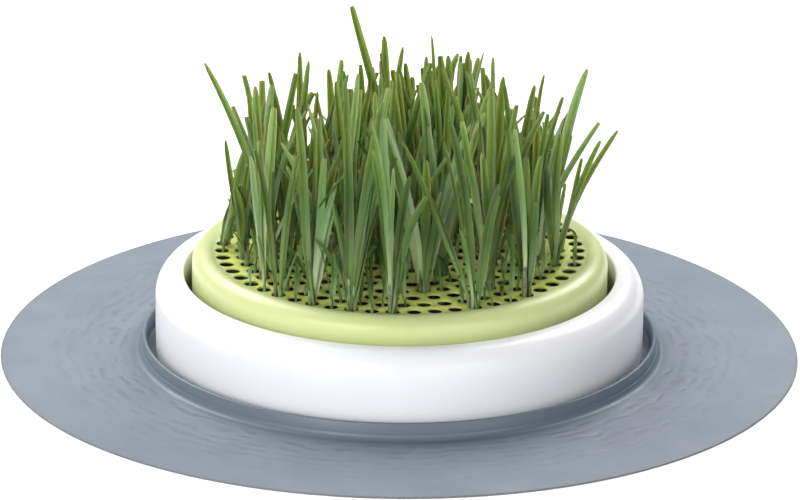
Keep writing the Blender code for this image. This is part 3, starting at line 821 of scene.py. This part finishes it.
# Sheaths are pale and streaky, green on most shoots and straw brown on the older ones
grass_sheath, tree, shader = new_material("pale sheath", 0.5)
tone = node(tree, "ShaderNodeAttribute", attribute_name="tone").outputs["Fac"]
place = node(tree, "ShaderNodeTexCoord").outputs["Object"]
streak = spread(tree, noise(tree, place, 260, 3), 0.3, 0.7)
green_sheath = mixed(tree, streak, (0.095, 0.180, 0.054), (0.280, 0.400, 0.195))
straw_sheath = mixed(tree, streak, (0.095, 0.110, 0.038), (0.225, 0.250, 0.110))
tree.links.new(mixed(tree, spread(tree, tone, 0.66, 0.74), green_sheath, straw_sheath), shader.inputs["Base Color"])

# One sheath: a short six-sided tube with a slanted mouth, copied round the foot of every shoot
deselect()
bpy.ops.mesh.primitive_cylinder_add(vertices=6, radius=1, depth=2, location=(0, 0, 0))
plain_sheath = bpy.context.active_object
plain_sheath.name = "plain sheath"
bpy.ops.object.mode_set(mode="EDIT")
bpy.ops.mesh.select_all(action="SELECT")
bpy.ops.mesh.bisect(plane_co=(0, 0, 0), plane_no=(0, 0, 1))
bpy.ops.object.mode_set(mode="OBJECT")
bpy.ops.object.shade_smooth_by_angle(angle=math.radians(70))
sheath_points = [vertex.co.copy() for vertex in plain_sheath.data.vertices]


def lay_sheath(mesh, curve, turn, stout, mouth):
    """Wraps a sheath round the foot of a shoot, from inside the hole up to a slanted mouth."""
    root, bend, tip = curve
    for vertex, unit in zip(mesh.vertices, sheath_points):
        level = (unit.z + 1) / 2
        centre, side, keel = blade_frame(root, bend, tip, turn, level * mouth)
        if level < 0.25:
            centre = Vector((root.x, root.y, STEM_FOOT + 4))
        girth = stout * (1.0 - 0.2 * level)
        centre += Vector((0, 0, 1)) * (unit.x * 2.0 * level * level)
        vertex.co = (centre + side * unit.x * girth + keel * unit.y * girth * 0.85) * MM
    mesh.update()


def add_shoot(shoots, curve, width, turn, twist, draw, tone, stout, foot=STEM_FOOT):
    leaf = bpy.data.objects.new("leaf", plain_leaf.data.copy())
    lay_leaf(leaf.data, curve, width, turn, twist, draw, foot)
    tone_mesh(leaf.data, tone)
    leaf.data.materials.append(grass_leaf)
    shoots.append(leaf)
    if stout:
        wrap = bpy.data.objects.new("wrap", plain_sheath.data.copy())
        lay_sheath(wrap.data, curve, turn, stout, draw.uniform(0.05, 0.17))
        tone_mesh(wrap.data, draw.random())
        wrap.data.materials.append(grass_sheath)
        shoots.append(wrap)


SPROUTS = 3
SPROUT_HEIGHTS = (6.0, 36.0)
SIDE_LEAVES = 3
SIDE_LENGTHS = (30.0, 84.0)
SIDE_LEANS = (10.0, 34.0)
# The tufts further out than this to the left and right stand more open, with fewer leaves of these kinds
OPEN_TUFT_DISTANCE = 56.0
OPEN_TUFT_GAPS = 0.65
leaf_draw = random.Random(21)
free_holes = [hole for hole in holes if hole not in tufts]


def facing(turn, share):
    """The twist that brings a leaf's face round towards the front by a share of the way."""
    return math.remainder(-turn, math.pi) * share


for number, tuft in enumerate(tufts, start=1):
    shoots = []
    tuft_tone = leaf_draw.uniform(-0.25, 0.25)
    stands_open = abs(tuft[0]) > OPEN_TUFT_DISTANCE
    for order, (root, bend, tip, width, turn, _) in enumerate(turf.blades[tuft]):
        placed = order < placed_blades[tuft]
        tone = min(max(leaf_draw.random() + tuft_tone, 0.0), 1.0)
        wide = width * leaf_draw.uniform(0.74, 0.96)
        twist = facing(turn, leaf_draw.uniform(0.6 if placed else 0.0, 1.0))
        add_shoot(shoots, (root, bend, tip), wide, turn, twist, leaf_draw, tone, leaf_draw.uniform(1.1, 1.45))
        if stands_open and leaf_draw.random() < OPEN_TUFT_GAPS:
            continue
        # A younger leaf, shorter and narrower, that parts from the first one on the way up
        share = leaf_draw.uniform(0.5, 0.94)
        middle, side, keel = blade_frame(root, bend, tip, turn, share)
        young_tip = middle + side * leaf_draw.uniform(-10, 10) + keel * leaf_draw.uniform(-4, 7)
        widest = max(math.hypot(tip.x, tip.y), TIP_FIELD_RADIUS)
        drawn_in = min(widest / math.hypot(young_tip.x, young_tip.y), 1.0)
        young_tip = Vector((young_tip.x * drawn_in, young_tip.y * drawn_in, young_tip.z))
        young_bend = root + (young_tip - root) * 0.5 + Vector((0, 0, 2)) + (bend - root) * 0.03
        young_tone = min(max(tone + leaf_draw.uniform(-0.3, 0.3), 0.0), 1.0)
        young_width = width * leaf_draw.uniform(0.45, 0.8)
        young_twist = facing(turn + 0.6, leaf_draw.uniform(0.0, 1.0))
        add_shoot(shoots, (root, young_bend, young_tip), young_width, turn + 0.6, young_twist, leaf_draw, young_tone, 0)
    # Low leaves that lean out from the tuft, under the top of the grass
    for _ in range(1 if stands_open else SIDE_LEAVES):
        heading = leaf_draw.uniform(0, 2 * math.pi)
        lean = math.radians(leaf_draw.uniform(*SIDE_LEANS))
        length = leaf_draw.uniform(*SIDE_LENGTHS)
        out = Vector((math.cos(heading), math.sin(heading), 0))
        root = Vector((tuft[0], tuft[1], BLADE_START)) + out * BLADE_ROOT_RADIUS
        tip = root + out * length * math.sin(lean) + Vector((0, 0, length * math.cos(lean)))
        if math.hypot(tip.x, tip.y) > TIP_FIELD_RADIUS + 2:
            tip -= out * 2 * length * math.sin(lean)
            out = -out
        room = canopy_height(tip.x, tip.y) * 0.92 - BLADE_START
        shortened = max(min(room / (tip.z - BLADE_START), 1.0), 0.3)
        length *= shortened
        tip = root + (tip - root) * shortened
        bend = root + (tip - root) * 0.5 - out * length * 0.08 + Vector((0, 0, length * 0.06))
        side_turn = heading + math.pi / 2
        twist = facing(side_turn, leaf_draw.uniform(0.0, 1.0))
        width = leaf_draw.uniform(2.0, 3.8)
        side_tone = min(max(leaf_draw.random() + tuft_tone, 0.0), 1.0)
        add_shoot(shoots, (root, bend, tip), width, side_turn, twist, leaf_draw, side_tone, 0)
    near_holes = sorted(free_holes, key=lambda hole: math.dist(hole, tuft))[:6]
    for x, y in leaf_draw.sample(near_holes, SPROUTS):
        heading = leaf_draw.uniform(0, 2 * math.pi)
        height = leaf_draw.uniform(*SPROUT_HEIGHTS)
        out = Vector((math.cos(heading), math.sin(heading), 0)) * height * leaf_draw.uniform(0.1, 0.45)
        root = Vector((x + leaf_draw.uniform(-1, 1), y + leaf_draw.uniform(-1, 1), BLADE_START))
        if math.hypot(root.x + out.x, root.y + out.y) > TIP_FIELD_RADIUS:
            out = -out
        tip = root + out + Vector((0, 0, height))
        bend = root + out * 0.2 + Vector((0, 0, height * 0.6))
        width = leaf_draw.uniform(1.6, 3.0)
        add_shoot(
            shoots, (root, bend, tip), width, heading + 1.5, 0.4, leaf_draw, leaf_draw.uniform(0.3, 1.0),
            leaf_draw.uniform(0.7, 1.1), MEDIUM_TOP - 3,
        )
    deselect()
    for shoot in shoots:
        studio.collection.objects.link(shoot)
        shoot.select_set(True)
    bpy.context.view_layer.objects.active = shoots[0]
    bpy.ops.object.join()
    grass = shoots[0]
    grass.name = f"grass_{number:02d}"
    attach(grass, "root")
    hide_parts(f"tuft_{number:02d}")
bpy.data.objects.remove(plain_leaf)
bpy.data.objects.remove(plain_sheath)
